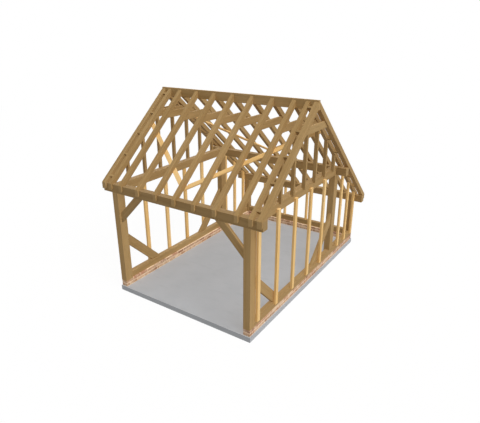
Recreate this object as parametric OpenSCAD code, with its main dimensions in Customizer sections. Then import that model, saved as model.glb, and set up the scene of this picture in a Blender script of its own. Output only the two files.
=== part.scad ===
// Oak timber frame: one open-fronted bay with an outshot behind it under a single long roof.
// It stands on a brick plinth and a concrete slab. Millimetres, +Z up.
// The origin is the centre of the slab's underside and the open front faces -Y.

/* [Base] */
// Thickness of the concrete slab
slab_t = 115; // [100:5:200]
// Slab left showing beyond the frame
slab_edge = 15; // [10:5:60]
// Brick courses in the plinth
courses = 2; // [1:1:4]
// Height of one brick
brick_h = 65; // [50:1:75]
// Length of one brick
brick_l = 215; // [190:1:240]
// Mortar joint between bricks
joint_w = 10; // [8:1:12]
// Depth that the joints are raked back
joint_rake = 5; // [2:1:8]

/* [Frame] */
// Width over the posts
frame_w = 3600; // [3200:50:4000]
// Length over the posts, front to rear
frame_l = 5500; // [5200:50:6000]
// Post width across the frame, which the plates and ties share
post_w = 160; // [140:5:180]
// Post depth along the side walls
post_d = 200; // [180:5:240]
// Height of the front posts and of the arcade posts
post_h = 2200; // [2000:10:2400]
// Distance from the front of the arcade posts to the rear of the frame
outshot_l = 1620; // [1300:10:1900]

/* [Beams] */
// Sill width
sill_w = 120; // [100:5:130]
// Sill depth
sill_h = 150; // [120:5:180]
// Depth of the front plate, rear plate and ties
plate_h = 190; // [140:5:200]
// Depth of the arcade plate that rides on the arcade posts
arcade_h = 190; // [150:5:220]

/* [Roof] */
// Slope of both sides of the roof in degrees
pitch = 40.5; // [38:0.5:44]
// Rafter width
rafter_w = 85; // [60:5:90]
// Rafter depth square to the slope
rafter_d = 110; // [100:5:160]
// Height of the plumb cut in the birdsmouths over the front and rear plates
heel = 94; // [60:2:100]
// Height of the plumb cut in the birdsmouths over the arcade plate
arcade_heel = 10; // [6:2:40]
// Rafter tail beyond the wall face
eaves_l = 40; // [20:5:60]
// Roof beyond the side walls
verge = 255; // [250:5:320]
// Width of the outermost rafters
verge_w = 110; // [80:5:130]
// Common couples between the gables
commons = 7; // [6:1:8]
// Ridge board thickness
ridge_t = 50; // [40:5:60]
// Ridge board standing above the rafters
ridge_up = 10; // [10:5:50]
// Collar thickness
collar_t = 50; // [40:5:60]
// Collar depth
collar_h = 155; // [120:5:180]
// Collar underside below the meeting point of the rafters' undersides
collar_drop = 465; // [380:5:500]
// Ladder noggin width along the slope
noggin_w = 50; // [40:5:60]
// Ladder noggin depth
noggin_d = 100; // [80:5:110]
// First noggin from the ridge, along the slope
noggin_first = 175; // [150:5:250]
// Noggin spacing along the slope
noggin_pitch = 605; // [500:5:620]

/* [Studs] */
// Stud thickness out from the wall
stud_t = 50; // [40:5:60]
// Stud width along the wall
stud_w = 100; // [75:5:120]
// Bays that the studs make in each main side wall
stud_bays = 5; // [4:1:6]
// Studs in each side of the outshot
outshot_studs = 3; // [2:1:3]
// Stud spacing in the outshot
outshot_pitch = 480; // [400:10:500]
// Studs in the rear wall
rear_studs = 4; // [4:1:6]
// Stud lap on the sill
sill_lap = 40; // [30:5:60]
// Stud lap on the tie
tie_lap = 80; // [60:5:80]
// Gable stud width along the wall
gable_stud_w = 60; // [50:5:80]
// Gable stud depth through the wall
gable_stud_d = 80; // [70:5:85]
// Distance from the outermost gable stud's middle to the arcade plate
gable_end = 270; // [150:5:300]
// Gable studs on each side of the middle one
gable_side_studs = 3; // [2:1:3]
// Gable stud lap down the outside of the tie
gable_lap = 30; // [20:5:60]

/* [Braces] */
// Knee brace reach along the post and along the plate
knee_leg = 700; // [550:10:750]
// Knee brace width in its own plane
knee_w = 160; // [120:5:180]
// Down brace reach along the post and along the sill
down_leg = 1035; // [900:5:1150]
// Down brace width in its own plane
down_w = 205; // [150:5:220]
// Thickness of the knee and down braces
brace_t = 70; // [60:5:80]
// Wind brace board width
wind_w = 100; // [80:5:120]
// Wind brace board thickness
wind_t = 28; // [20:1:30]
// Wind brace head below the collars, along the slope
wind_head_gap = 208; // [190:1:260]
// Wind brace foot above the plate, along the slope
wind_foot_gap = 245; // [200:5:400]
// Half of the gap between two wind brace feet
wind_gap = 60; // [40:5:100]

/* [Joints] */
// Post, sill and tie tenon thickness
tenon_t = 40; // [30:5:45]
// Post and tie tenon width
tenon_w = 100; // [80:5:120]
// Post and sill tenon length
tenon_l = 60; // [40:5:70]
// Brace and collar tenon thickness
stub_t = 25; // [20:5:30]
// Brace, collar and tie tenon length
stub_l = 40; // [30:5:50]
// Clearance around a tenon in its mortise
fit = 0.5; // [0.2:0.1:1]

/* [Hidden] */
oak = [0.64, 0.52, 0.33];
softwood = [0.85, 0.68, 0.44];
brick = [0.59, 0.42, 0.32];
concrete = [0.69, 0.69, 0.69];
cut = 1;
bay_l = frame_l - outshot_l;
hw = frame_w / 2;
front = -frame_l / 2;
rear = frame_l / 2;
plate_w = post_w;
course_h = brick_h + joint_w;
base_z = slab_t + courses * course_h;
sill_z = base_z + sill_h;
plate_z = base_z + post_h;
plate_top = plate_z + plate_h;
arcade = front + bay_l;
arcade_rear = arcade + post_d;
arcade_top = plate_z + arcade_h;
arcade_rise = arcade_top - arcade_heel - plate_top + heel;
ridge = front + (bay_l + post_d + arcade_rise / tan(pitch)) / 2;
front_run = ridge - front;
arcade_run = arcade_rear - ridge;
rear_run = rear - ridge;
under_apex = plate_top - heel + front_run * tan(pitch);
apex = under_apex + rafter_d / cos(pitch);
rear_top = under(rear_run) + heel;
ridge_h = ridge_up + rafter_d / cos(pitch) + ridge_t * tan(pitch);
roof_hw = hw + verge;
gable_x = hw + stud_t - rafter_w / 2;
verge_x = roof_hw - verge_w / 2;
common_pitch = 2 * verge_x / (commons + 1);
common_x = [for (k = [1 : commons]) k * common_pitch - verge_x];
couple_x = concat([-verge_x, -gable_x], common_x, [gable_x, verge_x]);
couples = len(couple_x);
collar_b = under_apex - collar_drop;
wall_bay = (bay_l - post_d) / stud_bays;
rear_bay = (frame_w - 2 * post_w) / (rear_studs + 0.5);
gable_pitch = (arcade_run - plate_w - gable_end) / gable_side_studs;
wind_head = along(collar_drop / tan(pitch), collar_b) + wind_head_gap;
wind_foot_front = along(front_run - plate_w, plate_top) - wind_foot_gap;
wind_foot_rear = along(arcade_run - plate_w, arcade_top) - wind_foot_gap;

// Height of the rafters' underside at a level distance from the ridge
function under(run) = under_apex - run * tan(pitch);

// Height of the roof plane at a level distance from the ridge
function over(run) = apex - run * tan(pitch);

// Distance down the slope to a point at a level distance and a height
function along(run, z) = run * cos(pitch) + (apex - z) * sin(pitch);

// Birdsmouth with a plumb cut h, over a plate whose outer face is at a level distance from the ridge
function birdsmouth(run, h) = let(low = under(run))
    [[run - h / tan(pitch), low + h], [run, low + h], [run, low]];

// Rafter outline from its plumb-cut head to its tail, one birdsmouth for each plate it crosses
function rafter_outline(seats, tail) = concat(
    [[ridge_t / 2, under(ridge_t / 2)]],
    [for (s = seats) each birdsmouth(s[0], s[1])],
    [[tail, under(tail)], [tail, over(tail)], [ridge_t / 2, over(ridge_t / 2)]]);

// Collar outline whose ends run on a level distance past the rafters' undersides
function collar_outline(past) = let(
    low = collar_drop / tan(pitch) + past,
    high = low - collar_h / tan(pitch))
    [[-low, collar_b], [low, collar_b], [high, collar_b + collar_h], [-high, collar_b + collar_h]];

// Brace outline in the corner between two members, with tenons that run on past both
function brace_outline(leg, width, past) = let(inner = leg - width * sqrt(2))
    [[inner + past, -past], [leg + past, -past], [-past, leg + past], [-past, inner + past]];

// Box between two opposite corners
module block(a, b) {
    translate(a) cube(b - a);
}

// Outline drawn across the frame, thickened along +Y
module across(y, t) {
    translate([0, y + t, 0]) rotate([90, 0, 0]) linear_extrude(t) children();
}

// Outline drawn front to rear, thickened along +X
module lengthwise(x, t) {
    translate([x, 0, 0]) rotate([90, 0, 90]) linear_extrude(t) children();
}

// Frame of the front slope: +X along the ridge, -Y down the slope, +Z out of the roof
module front_slope() {
    translate([0, ridge, apex]) rotate([pitch, 0, 0]) children();
}

// Frame of the rear slope, the front slope mirrored at the ridge
module rear_slope() {
    translate([0, ridge, apex]) mirror([0, 1, 0]) rotate([pitch, 0, 0]) children();
}

// The other side of the frame
module left_hand() {
    mirror([1, 0, 0]) children();
}

// Brick wall from the slab up, along +Y from the origin
module brickwork(width, length) {
    bricks = round(length / (brick_l + joint_w));
    bond = length / bricks;
    color(brick) difference() {
        block([0, 0, slab_t], [width, length, base_z]);
        difference() {
            for (c = [0 : courses - 1]) {
                block([-cut, -cut, slab_t + c * course_h - (c == 0 ? cut : 0)],
                      [width + cut, length + cut, slab_t + c * course_h + joint_w]);
                for (k = [1 : bricks - c % 2]) {
                    perpend = k * bond - (c % 2 == 0 ? bond / 2 : 0);
                    block([-cut, perpend - joint_w / 2, slab_t + c * course_h],
                          [width + cut, perpend + joint_w / 2, slab_t + (c + 1) * course_h + cut]);
                }
            }
            block([joint_rake, joint_rake, slab_t - 2 * cut],
                  [width - joint_rake, length - joint_rake, base_z + 2 * cut]);
        }
    }
}

// Tenon on a post's head that runs across the frame, grown by a clearance for its mortise
module head_tenon(y, z, grow) {
    block([hw - post_w / 2 - tenon_w / 2 - grow, y - tenon_t / 2 - grow, z - cut],
          [hw - post_w / 2 + tenon_w / 2 + grow, y + tenon_t / 2 + grow, z + tenon_l + grow]);
}

// Tenon of the right sill, running on past both of its shoulders
module sill_tenon(grow) {
    block([hw - sill_w / 2 - tenon_t / 2 - grow, front + post_d - tenon_l - grow, base_z + sill_h / 4 - grow],
          [hw - sill_w / 2 + tenon_t / 2 + grow, rear - post_w + tenon_l + grow, sill_z - sill_h / 4 + grow]);
}

// Tenon of the rear sill, running on past both of its shoulders
module rear_sill_tenon(grow) {
    block([-hw + post_w - tenon_l - grow, rear - sill_w / 2 - tenon_t / 2 - grow, base_z + sill_h / 4 - grow],
          [hw - post_w + tenon_l + grow, rear - sill_w / 2 + tenon_t / 2 + grow, sill_z - sill_h / 4 + grow]);
}

// Level tenon of the right tie, running on past both of its shoulders
module tie_tenon(grow) {
    middle = plate_z + plate_h / 2;
    past = stub_l + grow;
    block([hw - post_w / 2 - tenon_w / 2 - grow, front + plate_w - past, middle - tenon_t / 2 - grow],
          [hw - post_w / 2 + tenon_w / 2 + grow, arcade_rear - plate_w + past, middle + tenon_t / 2 + grow]);
}

// Right knee brace, in the corner of the front post and the front plate
module knee(t, past) {
    across(front + plate_w / 2 - t / 2, t)
        translate([hw - post_w, plate_z]) rotate(180) polygon(brace_outline(knee_leg, knee_w, past));
}

// Right down brace, in the corner of the front post and the sill
module down_front(t, past) {
    lengthwise(hw - sill_w / 2 - t / 2, t)
        translate([front + post_d, sill_z]) polygon(brace_outline(down_leg, down_w, past));
}

// Right down brace, in the corner of the arcade post and the sill
module down_rear(t, past) {
    lengthwise(hw - sill_w / 2 - t / 2, t)
        translate([arcade, sill_z]) mirror([1, 0]) polygon(brace_outline(down_leg, down_w, past));
}

// Tenons at both ends of the collar at one couple
module collar_tenon(x, grow) {
    lengthwise(x - stub_t / 2 - grow, stub_t + 2 * grow)
        translate([ridge, 0]) polygon(collar_outline(stub_l + grow));
}

// Right-hand front post with its head tenon and the mortises for the knee, brace and sill
module post_front() {
    color(oak) difference() {
        union() {
            block([hw - post_w, front, base_z], [hw, front + post_d, plate_z]);
            head_tenon(front + plate_w / 2, plate_z, 0);
        }
        knee(stub_t + 2 * fit, stub_l + fit);
        down_front(stub_t + 2 * fit, stub_l + fit);
        sill_tenon(fit);
    }
}

// Right-hand arcade post, its foot notched over the sill
module post_arcade() {
    color(oak) difference() {
        union() {
            block([hw - post_w, arcade, sill_z], [hw, arcade_rear, plate_z]);
            block([hw - post_w, arcade, base_z], [hw - sill_w, arcade_rear, sill_z]);
            head_tenon(arcade_rear - plate_w / 2, plate_z, 0);
        }
        down_rear(stub_t + 2 * fit, stub_l + fit);
    }
}

// Right-hand rear post
module post_rear() {
    color(oak) difference() {
        union() {
            block([hw - post_w, rear - post_w, base_z], [hw, rear, rear_top - plate_h]);
            head_tenon(rear - plate_w / 2, rear_top - plate_h, 0);
        }
        sill_tenon(fit);
        rear_sill_tenon(fit);
    }
}

// Right-hand sill
module sill() {
    color(oak) difference() {
        union() {
            block([hw - sill_w, front + post_d, base_z], [hw, rear - post_w, sill_z]);
            sill_tenon(0);
        }
        down_front(stub_t + 2 * fit, stub_l + fit);
        down_rear(stub_t + 2 * fit, stub_l + fit);
    }
}

// Right-hand tie, tenoned into the front plate and the arcade plate
module tie() {
    color(oak) union() {
        block([hw - post_w, front + plate_w, plate_z], [hw, arcade_rear - plate_w, plate_top]);
        tie_tenon(0);
    }
}

// Right-hand gable studs, their feet notched over the tie and their heads cut to the couple
module gable_studs() {
    foot = (under_apex - plate_top) / tan(pitch);
    top = collar_drop / tan(pitch);
    color(oak) intersection() {
        for (k = [-gable_side_studs : gable_side_studs]) {
            y = ridge + k * gable_pitch - gable_stud_w / 2;
            block([hw + stud_t - gable_stud_d, y, plate_top], [hw + stud_t, y + gable_stud_w, apex]);
            block([hw, y, plate_top - gable_lap], [hw + stud_t, y + gable_stud_w, plate_top + cut]);
        }
        lengthwise(hw - post_w, 2 * post_w) translate([ridge, 0])
            polygon([[-foot, plate_top], [-top, collar_b], [top, collar_b], [foot, plate_top],
                     [foot, plate_z], [-foot, plate_z]]);
    }
}

// Right-hand wall studs, lapping the sill and the tie, and those of the outshot under the roof
module wall_studs() {
    color(softwood) {
        for (k = [0 : stud_bays - 1]) {
            y = front + post_d + k * wall_bay;
            block([hw, y, sill_z - sill_lap], [hw + stud_t, y + stud_w, plate_z + tie_lap]);
        }
        intersection() {
            for (k = [0 : outshot_studs - 1]) {
                y = rear - post_w - stud_w - k * outshot_pitch;
                block([hw, y, sill_z - sill_lap], [hw + stud_t, y + stud_w, plate_top]);
            }
            lengthwise(hw - cut, stud_t + 2 * cut) translate([ridge, 0])
                polygon([[0, under(0)], [rear_run, under(rear_run)], [rear_run, base_z], [0, base_z]]);
        }
    }
}

// Right-hand ladder noggins between the gable couple and the verge couple
module noggins() {
    front_stop = along(front_run - plate_w, plate_top) - noggin_w;
    arcade_stop = along(arcade_run - plate_w, arcade_top) - noggin_w;
    arcade_go = along(arcade_run, arcade_top) + noggin_pitch;
    rear_stop = along(rear_run - plate_w, rear_top) - noggin_w;
    color(oak) {
        front_slope() for (s = [noggin_first : noggin_pitch : front_stop]) noggin(s);
        rear_slope() {
            for (s = [noggin_first : noggin_pitch : arcade_stop]) noggin(s);
            for (s = [arcade_go : noggin_pitch : rear_stop]) noggin(s);
        }
    }
}

// One ladder noggin at a distance down the slope
module noggin(s) {
    block([hw + stud_t, -s - noggin_w / 2, -noggin_d], [roof_hw - verge_w, -s + noggin_w / 2, 0]);
}

// Right-hand wind brace board on the rafters' undersides, in the frame of a slope
module wind_brace(foot) {
    half = wind_w / 2 * sqrt(1 + pow((foot - wind_head) / (hw - wind_gap), 2));
    color(softwood) translate([0, 0, -rafter_d - wind_t]) linear_extrude(wind_t)
        polygon([[hw, -wind_head + half], [hw, -wind_head - half],
                 [wind_gap, -foot - half], [wind_gap, -foot + half]]);
}

// One rafter of a couple over its plates, with the mortise for its collar
module rafter(i, facing, seats) {
    w = i == 1 || i == couples ? verge_w : rafter_w;
    x = couple_x[i - 1];
    color(oak) difference() {
        lengthwise(x - w / 2, w) translate([ridge, 0]) mirror([facing < 0 ? 1 : 0, 0])
            polygon(rafter_outline(seats, seats[len(seats) - 1][0] + eaves_l));
        collar_tenon(x, fit);
    }
}

module base_slab() {
    color(concrete)
        block([-hw - slab_edge, front - slab_edge, 0], [hw + slab_edge, rear + slab_edge, slab_t]);
}

module plinth_right() {
    translate([hw - post_w, front, 0]) brickwork(post_w, frame_l);
}

module plinth_left() {
    left_hand() plinth_right();
}

module plinth_rear() {
    translate([hw - post_w, rear - post_w, 0]) rotate([0, 0, 90]) brickwork(post_w, frame_w - 2 * post_w);
}

module post_front_left() {
    left_hand() post_front();
}

module post_front_right() {
    post_front();
}

module post_arcade_left() {
    left_hand() post_arcade();
}

module post_arcade_right() {
    post_arcade();
}

module post_rear_left() {
    left_hand() post_rear();
}

module post_rear_right() {
    post_rear();
}

module sill_left() {
    left_hand() sill();
}

module sill_right() {
    sill();
}

module sill_rear() {
    color(oak) union() {
        block([-hw + post_w, rear - sill_w, base_z], [hw - post_w, rear, sill_z]);
        rear_sill_tenon(0);
    }
}

module front_plate() {
    color(oak) difference() {
        block([-roof_hw, front, plate_z], [roof_hw, front + plate_w, plate_top]);
        for (side = [0, 1]) mirror([side, 0, 0]) {
            head_tenon(front + plate_w / 2, plate_z, fit);
            knee(stub_t + 2 * fit, stub_l + fit);
            tie_tenon(fit);
        }
    }
}

module arcade_plate() {
    color(oak) difference() {
        block([-roof_hw, arcade_rear - plate_w, plate_z], [roof_hw, arcade_rear, arcade_top]);
        for (side = [0, 1]) mirror([side, 0, 0]) {
            head_tenon(arcade_rear - plate_w / 2, plate_z, fit);
            tie_tenon(fit);
        }
    }
}

module rear_plate() {
    color(oak) difference() {
        block([-roof_hw, rear - plate_w, rear_top - plate_h], [roof_hw, rear, rear_top]);
        for (side = [0, 1]) mirror([side, 0, 0]) head_tenon(rear - plate_w / 2, rear_top - plate_h, fit);
    }
}

module tie_left() {
    left_hand() tie();
}

module tie_right() {
    tie();
}

module knee_right() {
    color(oak) {
        knee(brace_t, 0);
        knee(stub_t, stub_l);
    }
}

module knee_left() {
    left_hand() knee_right();
}

module down_brace_front_right() {
    color(oak) {
        down_front(brace_t, 0);
        down_front(stub_t, stub_l);
    }
}

module down_brace_front_left() {
    left_hand() down_brace_front_right();
}

module down_brace_rear_right() {
    color(oak) {
        down_rear(brace_t, 0);
        down_rear(stub_t, stub_l);
    }
}

module down_brace_rear_left() {
    left_hand() down_brace_rear_right();
}

module ridge_board() {
    color(oak) block([-roof_hw, ridge - ridge_t / 2, apex + ridge_up - ridge_h],
                     [roof_hw, ridge + ridge_t / 2, apex + ridge_up]);
}

module collars() {
    color(oak) for (x = couple_x) {
        lengthwise(x - collar_t / 2, collar_t) translate([ridge, 0]) polygon(collar_outline(0));
        collar_tenon(x, 0);
    }
}

module rafter_front(i) {
    rafter(i, -1, [[front_run, heel]]);
}

module rafter_rear(i) {
    rafter(i, 1, [[arcade_run, arcade_heel], [rear_run, heel]]);
}

module noggins_right() {
    noggins();
}

module noggins_left() {
    left_hand() noggins();
}

module gable_studs_right() {
    gable_studs();
}

module gable_studs_left() {
    left_hand() gable_studs();
}

module studs_right() {
    wall_studs();
}

module studs_left() {
    left_hand() wall_studs();
}

module studs_rear() {
    color(softwood) for (k = [0 : rear_studs - 1]) {
        x = (k - (rear_studs - 1) / 2) * rear_bay;
        block([x - stud_t / 2, rear - stud_w, sill_z], [x + stud_t / 2, rear, rear_top - plate_h]);
    }
}

module wind_brace_front_right() {
    front_slope() wind_brace(wind_foot_front);
}

module wind_brace_front_left() {
    left_hand() wind_brace_front_right();
}

module wind_brace_rear_right() {
    rear_slope() wind_brace(wind_foot_rear);
}

module wind_brace_rear_left() {
    left_hand() wind_brace_rear_right();
}

base_slab();
plinth_left();
plinth_right();
plinth_rear();
post_front_left();
post_front_right();
post_arcade_left();
post_arcade_right();
post_rear_left();
post_rear_right();
sill_left();
sill_right();
sill_rear();
front_plate();
arcade_plate();
rear_plate();
tie_left();
tie_right();
knee_left();
knee_right();
down_brace_front_left();
down_brace_front_right();
down_brace_rear_left();
down_brace_rear_right();
ridge_board();
collars();
for (i = [1 : couples]) rafter_front(i);
for (i = [1 : couples]) rafter_rear(i);
noggins_left();
noggins_right();
gable_studs_left();
gable_studs_right();
studs_left();
studs_right();
studs_rear();
wind_brace_front_left();
wind_brace_front_right();
wind_brace_rear_left();
wind_brace_rear_right();
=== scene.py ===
import math

import bmesh
import bpy
import numpy as np
from mathutils import Euler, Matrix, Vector


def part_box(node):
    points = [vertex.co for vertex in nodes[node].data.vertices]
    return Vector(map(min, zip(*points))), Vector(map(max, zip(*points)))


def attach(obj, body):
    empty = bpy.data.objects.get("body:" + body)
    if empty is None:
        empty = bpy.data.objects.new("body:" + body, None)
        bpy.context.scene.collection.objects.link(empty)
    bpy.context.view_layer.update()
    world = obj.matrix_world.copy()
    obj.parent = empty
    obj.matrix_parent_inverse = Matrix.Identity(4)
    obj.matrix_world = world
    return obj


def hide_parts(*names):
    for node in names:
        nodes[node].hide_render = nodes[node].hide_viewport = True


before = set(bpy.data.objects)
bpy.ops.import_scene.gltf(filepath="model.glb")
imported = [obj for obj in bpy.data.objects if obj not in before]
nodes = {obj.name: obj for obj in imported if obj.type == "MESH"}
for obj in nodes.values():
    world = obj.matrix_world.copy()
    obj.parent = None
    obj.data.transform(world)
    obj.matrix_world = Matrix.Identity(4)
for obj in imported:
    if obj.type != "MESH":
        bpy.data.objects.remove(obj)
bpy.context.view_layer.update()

scene = bpy.context.scene
print("frame loaded:", len(nodes), "timbers and walls")


# small helpers for building shader graphs

def socketNamed(sockets, name, kind):
    return [s for s in sockets if s.name == name and s.type == kind and s.enabled][0]


def startMaterial(name):
    mat = bpy.data.materials.new(name)
    mat.use_nodes = True
    tree = mat.node_tree
    tree.nodes.clear()
    out = tree.nodes.new("ShaderNodeOutputMaterial")
    shader = tree.nodes.new("ShaderNodeBsdfPrincipled")
    tree.links.new(shader.outputs["BSDF"], out.inputs["Surface"])
    return mat, tree, shader


def addNode(tree, kind, values=None, **settings):
    node = tree.nodes.new(kind)
    for key, value in settings.items():
        setattr(node, key, value)
    for key, value in (values or {}).items():
        node.inputs[key].default_value = value
    return node


def mixColour(tree, factor, first, second):
    node = addNode(tree, "ShaderNodeMix", data_type="RGBA")
    for socket, value in ((socketNamed(node.inputs, "Factor", "VALUE"), factor),
                          (socketNamed(node.inputs, "A", "RGBA"), first),
                          (socketNamed(node.inputs, "B", "RGBA"), second)):
        if isinstance(value, bpy.types.NodeSocket):
            tree.links.new(value, socket)
        else:
            socket.default_value = value
    return socketNamed(node.outputs, "Result", "RGBA")


def mathNode(tree, operation, first, second=0.0, clamp=False):
    node = addNode(tree, "ShaderNodeMath", operation=operation, use_clamp=clamp)
    for socket, value in zip(node.inputs, (first, second)):
        if isinstance(value, bpy.types.NodeSocket):
            tree.links.new(value, socket)
        else:
            socket.default_value = value
    return node.outputs[0]


def ramp(tree, factor, low, high):
    # straight ramp from 0 at low to 1 at high, held flat outside
    node = addNode(tree, "ShaderNodeMapRange", {"From Min": low, "From Max": high})
    node.clamp = True
    tree.links.new(factor, node.inputs["Value"])
    return node.outputs["Result"]


def layOn(tree, colour, over, pattern, look, kind):
    # patches of another colour: none below the pattern's band, its full share above it
    amount = mathNode(tree, "MULTIPLY", ramp(tree, pattern, *look[kind + "Band"]), look[kind + "Share"])
    return mixColour(tree, amount, colour, over)


def finishShader(tree, shader, colour, roughness, gloss):
    tree.links.new(colour, shader.inputs["Base Color"])
    shader.inputs["Roughness"].default_value = roughness
    shader.inputs["Specular IOR Level"].default_value = gloss


def bumpFrom(tree, shader, height, strength, distance):
    bump = addNode(tree, "ShaderNodeBump", {"Strength": strength, "Distance": distance})
    tree.links.new(height, bump.inputs["Height"])
    tree.links.new(bump.outputs["Normal"], shader.inputs["Normal"])


def linear(red, green, blue):
    # display colour of 0 to 255 turned into the linear colour that the shader takes
    c = np.array([red, green, blue]) / 255
    c = np.where(c <= 0.04045, c / 12.92, ((c + 0.055) / 1.055) ** 2.4)
    return (float(c[0]), float(c[1]), float(c[2]), 1.0)


def grainCoordinates(tree, along, shift):
    # object coordinates turned so that the grain runs along local x, then shifted for this piece
    coords = addNode(tree, "ShaderNodeTexCoord")
    turn = Vector(along).normalized().to_track_quat("X", "Z").inverted().to_euler()
    mapping = addNode(tree, "ShaderNodeMapping", {"Rotation": turn, "Location": shift})
    tree.links.new(coords.outputs["Object"], mapping.inputs["Vector"])
    return mapping.outputs["Vector"]


def facingGrain(tree, along):
    # 1 where a face looks along the grain, 0 where it looks across
    face = addNode(tree, "ShaderNodeNewGeometry")
    dot = addNode(tree, "ShaderNodeVectorMath", operation="DOT_PRODUCT")
    tree.links.new(face.outputs["True Normal"], dot.inputs[0])
    dot.inputs[1].default_value = Vector(along).normalized()
    return mathNode(tree, "ABSOLUTE", dot.outputs["Value"])


def stretched(tree, vector, scale):
    mapping = addNode(tree, "ShaderNodeMapping", {"Scale": scale})
    tree.links.new(vector, mapping.inputs["Vector"])
    return mapping.outputs["Vector"]


def noise(tree, vector, scale, detail, rough, distortion=0.0):
    node = addNode(tree, "ShaderNodeTexNoise",
                   {"Scale": scale, "Detail": detail, "Roughness": rough, "Distortion": distortion})
    tree.links.new(vector, node.inputs["Vector"])
    return node.outputs["Fac"]


# sawn timber, used for the oak and for the softwood

oak = {
    "heart": linear(168, 136, 88),
    "early": linear(149, 118, 72),
    "pale": linear(180, 150, 103),
    "dark": linear(102, 76, 44),
    "ringsPerMetre": 150.0,
    "ringDepth": 0.42,
    "checks": 0.75,
    "endRings": 0.6,
    "arris": 0.006,
    "roughness": 0.72,
}
softwood = {
    "heart": linear(236, 195, 128),
    "early": linear(216, 170, 102),
    "pale": linear(245, 211, 151),
    "dark": linear(150, 100, 52),
    "ringsPerMetre": 210.0,
    "ringDepth": 0.35,
    "checks": 0.25,
    "endRings": 0.4,
    "arris": 0.003,
    "roughness": 0.6,
}

# how the figure is drawn: stretches along and across the grain, and the bands where each pattern sets in
figure = {
    "rings": (0.35, 1.0, 1.0),
    "ringWave": {"Distortion": 5.0, "Detail": 3.0, "Detail Scale": 1.6, "Detail Roughness": 0.55},
    "ringSpread": 20.0,
    "fibre": (3.0, 90.0, 90.0),
    "fibreBand": (0.35, 0.15),
    "fibreShare": 0.5,
    "fibreHeight": 0.6,
    "streak": (0.6, 14.0, 14.0),
    "streakBand": (0.45, 0.75),
    "drift": (0.5, 2.2, 2.2),
    "driftBand": (0.45, 0.7),
    "driftShare": 0.55,
    "split": (0.9, 26.0, 26.0),
    "splitBand": (0.006, 0.0),
    "checkedBand": (0.5, 0.62),
    "endBand": (0.66, 0.74),
    "endWave": {"Distortion": 2.5, "Detail": 2.0},
    "endSpread": 6.0,
    "shift": 3.0,
    "toneSpread": 0.05,
    "gloss": 0.25,
    "relief": (0.35, 0.004),
}


def ringWave(tree, vector, profile, values):
    # rings round the grain, which runs along x
    wave = addNode(tree, "ShaderNodeTexWave", values, wave_type="RINGS", rings_direction="X",
                   wave_profile=profile)
    tree.links.new(vector, wave.inputs["Vector"])
    return wave.outputs["Fac"]


def toned(look, tone):
    # the same wood, darker or paler: a random spread as one log is beside another, and per-timber factors,
    # of which the front plate's is painted shade
    shades = {k: tuple(c * tone for c in look[k][:3]) + (1.0,) for k in ("heart", "early", "pale", "dark")}
    return dict(look, **shades)


def timberMaterial(name, look, along, seed, tone=1.0):
    # growth rings round the grain, streaks and checks drawn out along it, a slow drift of tone
    rng = np.random.default_rng(seed)
    shift = tuple(float(v) for v in rng.uniform(-figure["shift"], figure["shift"], 3))
    look = toned(look, tone * rng.uniform(1 - figure["toneSpread"], 1 + figure["toneSpread"]))
    mat, tree, shader = startMaterial(name)
    grain = grainCoordinates(tree, along, shift)
    ringValues = dict(figure["ringWave"], Scale=look["ringsPerMetre"] / figure["ringSpread"])
    rings = ringWave(tree, stretched(tree, grain, figure["rings"]), "SAW", ringValues)
    fibre = noise(tree, stretched(tree, grain, figure["fibre"]), 1.0, detail=5.0, rough=0.6)
    streak = noise(tree, stretched(tree, grain, figure["streak"]), 1.0, detail=3.0, rough=0.55)
    drift = noise(tree, stretched(tree, grain, figure["drift"]), 1.0, detail=2.0, rough=0.5)
    split = noise(tree, stretched(tree, grain, figure["split"]), 1.0, detail=1.0, rough=0.4, distortion=0.3)
    ringShare = mathNode(tree, "MULTIPLY", rings, look["ringDepth"])
    colour = mixColour(tree, ringShare, look["heart"], look["early"])
    colour = mixColour(tree, ramp(tree, streak, *figure["streakBand"]), colour, look["early"])
    colour = layOn(tree, colour, look["pale"], drift, figure, "drift")
    colour = layOn(tree, colour, look["dark"], fibre, figure, "fibre")
    # a check is a thin dark line where the drawn-out noise crosses its middle value
    line = mathNode(tree, "ABSOLUTE", mathNode(tree, "SUBTRACT", split, 0.5))
    checked = ramp(tree, drift, *figure["checkedBand"])
    check = mathNode(tree, "MULTIPLY", ramp(tree, line, *figure["splitBand"]), checked)
    check = mathNode(tree, "MULTIPLY", check, look["checks"])
    colour = mixColour(tree, check, colour, look["dark"])
    # sawn ends, where the face looks along the grain, are painted paler, a painted highlight that makes the
    # cut ends read as lit, and show tight rings
    ends = ramp(tree, facingGrain(tree, along), *figure["endBand"])
    ends = mathNode(tree, "MULTIPLY", ends, look["endRings"])
    colour = mixColour(tree, ends, colour, look["pale"])
    endValues = dict(figure["endWave"], Scale=look["ringsPerMetre"] / figure["endSpread"])
    endRings = ringWave(tree, grain, "SIN", endValues)
    colour = mixColour(tree, mathNode(tree, "MULTIPLY", ends, endRings), colour, look["early"])
    finishShader(tree, shader, colour, look["roughness"], figure["gloss"])
    height = mathNode(tree, "SUBTRACT", mathNode(tree, "MULTIPLY", fibre, figure["fibreHeight"]), check)
    bumpFrom(tree, shader, height, *figure["relief"])
    return mat


def rafterDirection(name):
    low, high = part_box(name)
    rise = high.z - low.z
    return (0, high.y - low.y, rise if "front" in name else -rise)


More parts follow.
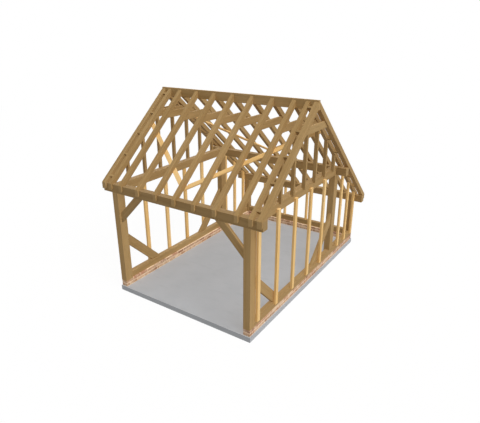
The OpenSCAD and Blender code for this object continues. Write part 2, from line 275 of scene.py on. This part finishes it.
def grainOf(name):
    # which way each timber was sawn
    if name.startswith("rafter"):
        return rafterDirection(name)
    if name.startswith("knee"):
        return (1, 0, 1) if "left" in name else (-1, 0, 1)
    if name.startswith("down_brace"):
        return (0, 1, -1) if "front" in name else (0, 1, 1)
    if name.startswith("wind_brace"):
        low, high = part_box(name)
        side = -1 if "left" in name else 1
        fall = -1 if "front" in name else 1
        return (-side * (high.x - low.x), fall * (high.y - low.y), -(high.z - low.z))
    if name.startswith(("post", "studs", "gable")):
        return (0, 0, 1)
    if name in ("sill_left", "sill_right", "tie_left", "tie_right", "collars"):
        return (0, 1, 0)
    return (1, 0, 0)


def placePiece(name, points, faces, material):
    # mesh object at the origin, riding on the one body
    mesh = bpy.data.meshes.new(name)
    mesh.from_pydata(points.reshape(-1, 3).tolist(), [], faces)
    mesh.update()
    mesh.materials.append(material)
    piece = bpy.data.objects.new(name, mesh)
    scene.collection.objects.link(piece)
    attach(piece, "root")
    return piece


planing = {"weld": 1e-5, "flatness": 0.01, "segments": 2, "sharperThan": 30.0}


def easeTimber(name, material, arris):
    # the sawn solid with its split faces merged and every arris taken off by the plane
    mesh = nodes[name].data.copy()
    solid = bmesh.new()
    solid.from_mesh(mesh)
    bmesh.ops.remove_doubles(solid, verts=solid.verts, dist=planing["weld"])
    bmesh.ops.dissolve_limit(solid, angle_limit=planing["flatness"], verts=solid.verts, edges=solid.edges)
    solid.to_mesh(mesh)
    solid.free()
    mesh.materials.clear()
    mesh.materials.append(material)
    piece = bpy.data.objects.new("eased_" + name, mesh)
    scene.collection.objects.link(piece)
    plane = piece.modifiers.new("arris", "BEVEL")
    plane.width = arris
    plane.segments = planing["segments"]
    plane.limit_method = "ANGLE"
    plane.angle_limit = math.radians(planing["sharperThan"])
    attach(piece, "root")
    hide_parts(name)


softNodes = [n for n in sorted(nodes) if n.startswith(("studs", "wind_brace"))]
oakNodes = [n for n in sorted(nodes) if not n.startswith(("studs", "wind_brace", "plinth", "base"))]
# the front plate darkened to 0.84 is painted shade, standing in for the shadow beneath the rafter tails; the
# ridge board is a tenth paler
paintedShadeAndTones = {"front_plate": 0.84, "ridge_board": 1.1}
firstSeed = 100
for seed, name in enumerate(oakNodes + softNodes, firstSeed):
    look = softwood if name in softNodes else oak
    mat = timberMaterial("sawn_" + name, look, grainOf(name), seed, paintedShadeAndTones.get(name, 1.0))
    easeTimber(name, mat, look["arris"])
print("timber finished:", len(oakNodes), "oak and", len(softNodes), "softwood")


# floated concrete slab

concrete = {
    "tone": linear(173, 175, 178),
    "dark": linear(161, 163, 166),
    "pale": linear(178, 180, 183),
    "cloudScale": 1.3,
    "cloudBand": (0.35, 0.65),
    "trowel": (2.0, 9.0, 9.0),
    "trowelBand": (0.55, 0.8),
    "trowelShare": 0.5,
    "gritScale": 140.0,
    "gritBand": (0.6, 0.75),
    "gritShare": 0.35,
    "roughness": 0.85,
    "gloss": 0.2,
    "relief": (0.3, 0.002),
}


def concreteMaterial():
    look = concrete
    mat, tree, shader = startMaterial("floated_concrete")
    coords = addNode(tree, "ShaderNodeTexCoord").outputs["Object"]
    cloud = noise(tree, coords, look["cloudScale"], detail=5.0, rough=0.6)
    grit = noise(tree, coords, look["gritScale"], detail=3.0, rough=0.6)
    trowel = noise(tree, stretched(tree, coords, look["trowel"]), 1.0, detail=4.0, rough=0.6, distortion=0.4)
    colour = mixColour(tree, ramp(tree, cloud, *look["cloudBand"]), look["tone"], look["pale"])
    colour = layOn(tree, colour, look["dark"], trowel, look, "trowel")
    colour = layOn(tree, colour, look["dark"], grit, look, "grit")
    finishShader(tree, shader, colour, look["roughness"], look["gloss"])
    bumpFrom(tree, shader, grit, *look["relief"])
    return mat


nodes["base_slab"].data.materials.clear()
nodes["base_slab"].data.materials.append(concreteMaterial())
print("slab finished")


# brick plinth: single bricks with eased arrises, bedded in raked mortar

plinth = {
    "brickHigh": 0.063,
    "brickLong": 0.213,
    "joint": 0.012,
    "rake": 0.006,
    "arris": 0.004,
    "unevenness": 0.002,
    "coreGap": 0.001,
    "seed": 7,
}


def easedBlocks(centres, halves, arris):
    # each corner of a block is three points: full size along one axis, held back by the arris along two;
    # flat faces, arris strips and corner triangles join them in the same order on every block
    signs = np.array([[x, y, z] for x in (-1, 1) for y in (-1, 1) for z in (-1, 1)], float)
    heldBack = arris * (1 - np.eye(3))
    corner = signs[None, :, None, :] * (halves[:, None, None, :] - heldBack[None, None])
    points = centres[:, None, None, :] + corner
    # the same corners on a block of half size 1 tell which way each face looks
    template = (signs[:, None, :] * (1 - 0.2 * (1 - np.eye(3)))).reshape(-1, 3)
    order = []
    for axis in range(3):
        others = [a for a in range(3) if a != axis]
        for sign in (-1, 1):
            ring = [(-1, -1), (1, -1), (1, 1), (-1, 1)]
            order.append([cornerIndex(axis, sign, others, pair) * 3 + axis for pair in ring])
        for pair in ((-1, -1), (1, -1), (1, 1), (-1, 1)):
            first = cornerIndex(axis, -1, others, pair) * 3
            last = cornerIndex(axis, 1, others, pair) * 3
            order.append([first + others[0], last + others[0], last + others[1], first + others[1]])
    order += [[c * 3, c * 3 + 1, c * 3 + 2] for c in range(8)]
    order = [outward(template, face) for face in order]
    step = 24 * np.arange(len(centres))
    faces = []
    for face in order:
        faces += (step[:, None] + np.array(face)[None]).tolist()
    return points, faces


def cornerIndex(axis, sign, others, pair):
    place = [0, 0, 0]
    place[axis], place[others[0]], place[others[1]] = sign, pair[0], pair[1]
    return sum((v > 0) * w for v, w in zip(place, (4, 2, 1)))


def outward(points, face):
    a, b, c = (points[i] for i in face[:3])
    return face if np.dot(np.cross(b - a, c - a), a + b + c) > 0 else face[::-1]


def bricksOfWall(low, high, rng):
    # courses of equal bond between the wall's ends, every other course shifted by half a brick
    run = 0 if high[0] - low[0] > high[1] - low[1] else 1
    length = high[run] - low[run]
    count = round(length / (plinth["brickLong"] + plinth["joint"]))
    bond = length / count
    courseHigh = plinth["brickHigh"] + plinth["joint"]
    courses = round((high[2] - low[2]) / courseHigh)
    centres, halves = [], []
    for course in range(courses):
        odd = course % 2 == 1
        marks = np.arange(count + 1) * bond if odd else np.r_[0, (np.arange(count) + 0.5) * bond, length]
        start = marks[:-1] + np.where(marks[:-1] > 0, plinth["joint"] / 2, 0)
        end = marks[1:] - np.where(marks[1:] < length - 1e-6, plinth["joint"] / 2, 0)
        centre = np.tile((low + high) / 2, (len(start), 1))
        half = np.tile((high - low) / 2, (len(start), 1))
        centre[:, run] = low[run] + (start + end) / 2
        half[:, run] = (end - start) / 2
        centre[:, 2] = low[2] + course * courseHigh + plinth["joint"] + plinth["brickHigh"] / 2
        half[:, 2] = plinth["brickHigh"] / 2
        centres.append(centre)
        halves.append(half - rng.uniform(0, plinth["unevenness"], half.shape))
    return np.concatenate(centres), np.concatenate(halves)


bricks = {
    "red": linear(188, 141, 112),
    "brown": linear(179, 138, 107),
    "brownBand": (0.15, 0.55),
    "plum": linear(160, 118, 94),
    "plumBand": (0.75, 0.8),
    "buff": linear(211, 177, 146),
    "buffBand": (0.93, 0.95),
    "cloudScale": 16.0,
    "cloudBand": (0.5, 0.75),
    "cloudShare": 0.5,
    "gritScale": 210.0,
    "gritBand": (0.58, 0.72),
    "gritShare": 0.4,
    "bloomScale": 7.0,
    "bloomBand": (0.42, 0.6),
    "bloomShare": 0.45,
    "roughness": 0.88,
    "gloss": 0.2,
    "relief": (0.5, 0.003),
}
mortar = {
    "pale": linear(243, 221, 190),
    "dark": linear(227, 200, 166),
    "cloudScale": 9.0,
    "cloudBand": (0.4, 0.7),
    "sandScale": 320.0,
    "sandBand": (0.55, 0.7),
    "sandShare": 0.5,
    "roughness": 0.95,
    "gloss": 0.15,
    "relief": (0.5, 0.002),
}


def brickMaterial():
    # firing tone from each brick's own attribute, sandy speckle and patches of pale lime bloom
    look = bricks
    mat, tree, shader = startMaterial("stock_brick")
    tone = addNode(tree, "ShaderNodeAttribute", attribute_name="firing").outputs["Fac"]
    coords = addNode(tree, "ShaderNodeTexCoord").outputs["Object"]
    cloud = noise(tree, coords, look["cloudScale"], detail=5.0, rough=0.6)
    grit = noise(tree, coords, look["gritScale"], detail=3.0, rough=0.7)
    bloom = noise(tree, coords, look["bloomScale"], detail=4.0, rough=0.65)
    colour = mixColour(tree, ramp(tree, tone, *look["brownBand"]), look["red"], look["brown"])
    colour = mixColour(tree, ramp(tree, tone, *look["plumBand"]), colour, look["plum"])
    colour = mixColour(tree, ramp(tree, tone, *look["buffBand"]), colour, look["buff"])
    colour = layOn(tree, colour, look["plum"], cloud, look, "cloud")
    colour = layOn(tree, colour, look["buff"], grit, look, "grit")
    colour = layOn(tree, colour, mortar["pale"], bloom, look, "bloom")
    finishShader(tree, shader, colour, look["roughness"], look["gloss"])
    bumpFrom(tree, shader, mathNode(tree, "ADD", grit, cloud), *look["relief"])
    return mat


def mortarMaterial():
    look = mortar
    mat, tree, shader = startMaterial("lime_mortar")
    coords = addNode(tree, "ShaderNodeTexCoord").outputs["Object"]
    sand = noise(tree, coords, look["sandScale"], detail=3.0, rough=0.7)
    cloud = noise(tree, coords, look["cloudScale"], detail=4.0, rough=0.6)
    colour = mixColour(tree, ramp(tree, cloud, *look["cloudBand"]), look["pale"], look["dark"])
    colour = layOn(tree, colour, look["dark"], sand, look, "sand")
    finishShader(tree, shader, colour, look["roughness"], look["gloss"])
    bumpFrom(tree, shader, sand, *look["relief"])
    return mat


def buildPlinth():
    rng = np.random.default_rng(plinth["seed"])
    fired, bedding = brickMaterial(), mortarMaterial()
    walls = ("plinth_left", "plinth_right", "plinth_rear")
    for wall in walls:
        low, high = (np.array(c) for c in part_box(wall))
        centres, halves = bricksOfWall(low, high, rng)
        points, faces = easedBlocks(centres, halves, plinth["arris"])
        piece = placePiece("bricks_" + wall, points, faces, fired)
        tone = piece.data.attributes.new("firing", "FLOAT", "POINT")
        tone.data.foreach_set("value", np.repeat(rng.random(len(centres)), 24))
        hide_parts(wall)
        bedHalf = (high - low) / 2 - np.array([plinth["rake"], plinth["rake"], plinth["coreGap"]])
        points, faces = easedBlocks((low + high)[None] / 2, bedHalf[None], plinth["coreGap"])
        placePiece("mortar_" + wall, points, faces, bedding)
        print("laid", len(centres), "bricks in", wall)


buildPlinth()


# oak pegs driven through every mortise and tenon, left a little proud

pegs = {
    "radius": 0.010,
    "proud": 0.004,
    "taper": 0.8,
    "sides": 12,
    "pairGap": 0.05,
    "blind": 0.13,
    "pitch": 40.5,
    "setBack": 0.020,
    "headUp": 0.03,
    "sillBack": 0.03,
    "braceReach": (0.87, 0.95),
    "kneeReach": (0.55, 0.63),
    "collarRise": (0.25, 0.75),
    "inset": 0.4,
    "seed": 400,
    "heart": linear(156, 123, 76),
    "early": linear(134, 103, 61),
    "pale": linear(166, 134, 88),
}


def corners(name):
    low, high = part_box(name)
    return np.array(low), np.array(high)


def dowels(starts, ends):
    # a circle carried along each straight peg through four stations, the first and last drawn in
    radius, taper, sides = pegs["radius"], pegs["taper"], pegs["sides"]
    starts, ends = np.array(starts, float), np.array(ends, float)
    axis = ends - starts
    length = np.linalg.norm(axis, axis=1, keepdims=True)
    axis = axis / length
    helper = np.where(np.abs(axis[:, 2:3]) > 0.9, [[1.0, 0.0, 0.0]], [[0.0, 0.0, 1.0]])
    across = np.cross(axis, helper)
    across /= np.linalg.norm(across, axis=1, keepdims=True)
    upward = np.cross(axis, across)
    turn = np.arange(sides) * 2 * np.pi / sides
    circle = across[:, None] * np.cos(turn)[None, :, None] + upward[:, None] * np.sin(turn)[None, :, None]
    inset = np.minimum(radius * pegs["inset"], length / 4)
    along = np.concatenate([0 * length, inset, length - inset, length], axis=1)
    size = np.array([taper, 1.0, 1.0, taper]) * radius
    points = (starts[:, None, None] + axis[:, None, None] * along[:, :, None, None]
              + circle[:, None] * size[None, :, None, None])
    first = np.arange(len(starts))[:, None, None] * 4 * sides
    ring = np.arange(3)[None, :, None] * sides + np.arange(sides)[None, None]
    nextOne = np.arange(3)[None, :, None] * sides + (np.arange(sides)[None, None] + 1) % sides
    quads = np.stack([first + ring, first + nextOne, first + nextOne + sides, first + ring + sides], -1)
    cap = np.arange(sides)[None]
    startCaps = np.arange(len(starts))[:, None] * 4 * sides + cap[:, ::-1]
    endCaps = np.arange(len(starts))[:, None] * 4 * sides + 3 * sides + cap
    faces = quads.reshape(-1, 4).tolist() + startCaps.tolist() + endCaps.tolist()
    return points, faces


def throughX(x0, x1, y, z):
    return (x0 - pegs["proud"], y, z), (x1 + pegs["proud"], y, z)


def throughY(x, y0, y1, z):
    return (x, y0 - pegs["proud"], z), (x, y1 + pegs["proud"], z)


def downZ(x, y, top):
    return (x, y, top - pegs["blind"]), (x, y, top + pegs["proud"])


def blindY(x, y, z):
    return throughY(x, y, y + pegs["blind"], z)


def sidePegLines(side, sign):
    # pegs of one side wall: post heads, tie ends, knee, down braces and sill
    lines = []
    gap = np.array([-0.5, 0.5]) * pegs["pairGap"]
    back, headUp, sillBack = pegs["setBack"], pegs["headUp"], pegs["sillBack"]
    frontLow, frontHigh = corners("front_plate")
    bayLow, bayHigh = corners("arcade_plate")
    rearLow, rearHigh = corners("rear_plate")
    postLow, postHigh = corners("post_front_" + side)
    arcadeLow, arcadeHigh = corners("post_arcade_" + side)
    backLow, backHigh = corners("post_rear_" + side)
    sillLow, sillHigh = corners("sill_" + side)
    tieLow, tieHigh = corners("tie_" + side)
    middle = (postLow[0] + postHigh[0]) / 2
    inner = postHigh[0] if sign < 0 else postLow[0]
    for x in middle + gap:
        lines.append(blindY(x, frontLow[1], frontLow[2] + headUp))
        lines.append(throughY(x, rearLow[1], rearHigh[1], rearLow[2] + headUp))
        lines.append(throughY(x, bayLow[1], bayHigh[1], bayLow[2] + headUp))
        lines.append(downZ(x, tieLow[1] + back, tieHigh[2]))
        lines.append(downZ(x, tieHigh[1] - back, tieHigh[2]))
    for reach in pegs["kneeReach"]:
        lines.append(blindY(inner + sign * back, postLow[1], frontLow[2] - reach))
        lines.append(throughY(inner - sign * reach, frontLow[1], frontHigh[1], frontLow[2] + back))
    for reach in pegs["braceReach"]:
        level = sillHigh[2] + reach
        lines.append(throughX(postLow[0], postHigh[0], postHigh[1] - back, level))
        lines.append(throughX(postLow[0], postHigh[0], arcadeLow[1] + back, level))
        lines.append(throughX(sillLow[0], sillHigh[0], postHigh[1] + reach, sillHigh[2] - back))
        lines.append(throughX(sillLow[0], sillHigh[0], arcadeLow[1] - reach, sillHigh[2] - back))
    for level in (sillLow[2] + sillHigh[2]) / 2 + gap / 2:
        lines.append(throughX(postLow[0], postHigh[0], postHigh[1] - sillBack, level))
        lines.append(throughX(postLow[0], postHigh[0], backLow[1] + sillBack, level))
        lines.append(throughY(inner + sign * sillBack, backLow[1], backHigh[1], level))
    return lines


def collarPegLines():
    # two pegs through each rafter into the end of its collar
    lines = []
    low, high = corners("collars")
    ridge = (low[1] + high[1]) / 2
    reach = (high[1] - low[1]) / 2 - pegs["setBack"]
    couples = len([n for n in nodes if n.startswith("rafter_front_")])
    for couple in range(1, couples + 1):
        rafterLow, rafterHigh = corners(f"rafter_front_{couple}")
        for share in pegs["collarRise"]:
            rise = share * (high[2] - low[2])
            out = reach - rise / math.tan(math.radians(pegs["pitch"]))
            for y in (ridge - out, ridge + out):
                lines.append(throughX(rafterLow[0], rafterHigh[0], y, low[2] + rise))
    return lines


def buildPegs():
    lines = sidePegLines("left", -1) + sidePegLines("right", 1) + collarPegLines()
    starts, ends = zip(*lines)
    points, faces = dowels(starts, ends)
    look = dict(oak, heart=pegs["heart"], early=pegs["early"], pale=pegs["pale"])
    mat = timberMaterial("cleft_peg", look, (0, 1, 0), pegs["seed"])
    placePiece("oak_pegs", points, faces, mat)
    print("driven", len(lines), "pegs")


buildPegs()


# floor, light and camera

studio = {
    "floorTone": 0.5,
    "floorShade": 0.3,
    "floorSize": 60.0,
    "floorDrop": 0.002,
    "ambient": 0.25,
    "keyFrom": (0.628, -0.199, 0.753),
    "keyStrength": 2.35,
    "keyAngle": 35.0,
    "shadowStrength": 0.55,
    "fillFrom": (-0.69, 0.69, 0.22),
    "fillStrength": 0.8,
}


def seenRays(tree):
    # 1 for rays that show the background: straight, mirrored or through glass
    path = addNode(tree, "ShaderNodeLightPath")
    mirrored = mathNode(tree, "ADD", path.outputs["Is Glossy Ray"], path.outputs["Is Transmission Ray"])
    return mathNode(tree, "ADD", path.outputs["Is Camera Ray"], mirrored, clamp=True)


def makeFloor():
    half = studio["floorSize"] / 2
    mesh = bpy.data.meshes.new("floor")
    square = [(-half, -half, 0), (half, -half, 0), (half, half, 0), (-half, half, 0)]
    mesh.from_pydata(square, [], [(0, 1, 2, 3)])
    floor = bpy.data.objects.new("floor", mesh)
    scene.collection.objects.link(floor)
    floor.location.z = -studio["floorDrop"]
    mat, tree, shader = startMaterial("pale_floor")
    tone = studio["floorTone"]
    shader.inputs["Base Color"].default_value = (tone, tone, tone, 1)
    shader.inputs["Roughness"].default_value = 1.0
    shader.inputs["Specular IOR Level"].default_value = 0.0
    shade = studio["floorShade"]
    whiteness = (1 - shade * tone) / (1 - shade)  # the lit floor then adds up to white
    white = addNode(tree, "ShaderNodeEmission", {"Color": (1, 1, 1, 1), "Strength": whiteness})
    blend = addNode(tree, "ShaderNodeMixShader")
    keep = mathNode(tree, "MULTIPLY", seenRays(tree), 1 - shade)
    tree.links.new(keep, blend.inputs[0])
    tree.links.new(shader.outputs["BSDF"], blend.inputs[1])
    tree.links.new(white.outputs["Emission"], blend.inputs[2])
    out = [n for n in tree.nodes if n.type == "OUTPUT_MATERIAL"][0]
    tree.links.new(blend.outputs["Shader"], out.inputs["Surface"])
    mesh.materials.append(mat)


def makeWorld():
    world = bpy.data.worlds.new("studio")
    world.use_nodes = True
    tree = world.node_tree
    tree.nodes.clear()
    out = addNode(tree, "ShaderNodeOutputWorld")
    soft = addNode(tree, "ShaderNodeBackground", {"Color": (1, 1, 1, 1), "Strength": studio["ambient"]})
    white = addNode(tree, "ShaderNodeBackground", {"Color": (1, 1, 1, 1), "Strength": 1.0})
    blend = addNode(tree, "ShaderNodeMixShader")
    tree.links.new(seenRays(tree), blend.inputs[0])
    tree.links.new(soft.outputs["Background"], blend.inputs[1])
    tree.links.new(white.outputs["Background"], blend.inputs[2])
    tree.links.new(blend.outputs["Shader"], out.inputs["Surface"])
    scene.world = world


def makeLamp(name, origin, strength, castsShadow=False):
    # broad lamp far away: most of the light is even, and a small share casts a soft shadow
    lamp = bpy.data.lights.new(name, "SUN")
    lamp.energy = strength
    lamp.angle = math.radians(studio["keyAngle"])
    lamp.use_shadow = castsShadow
    holder = bpy.data.objects.new(name, lamp)
    holder.rotation_euler = Vector(origin).to_track_quat("Z", "Y").to_euler()
    scene.collection.objects.link(holder)


viewpoint = {"place": (5.6812, -8.9445, 5.7556), "turn": (68.044, 0.0, 33.579), "lens": 33.646}


def makeCamera():
    data = bpy.data.cameras.new("camera")
    data.sensor_fit = "HORIZONTAL"
    data.sensor_width = 36.0
    data.lens = viewpoint["lens"]
    camera = bpy.data.objects.new("camera", data)
    camera.location = viewpoint["place"]
    camera.rotation_euler = Euler([math.radians(a) for a in viewpoint["turn"]])
    scene.collection.objects.link(camera)
    scene.camera = camera


makeFloor()
makeWorld()
makeLamp("key", studio["keyFrom"], studio["keyStrength"])
makeLamp("shadow_key", studio["keyFrom"], studio["shadowStrength"], True)
makeLamp("fill", studio["fillFrom"], studio["fillStrength"])
makeCamera()
scene.view_settings.view_transform = "Standard"
print("studio set")
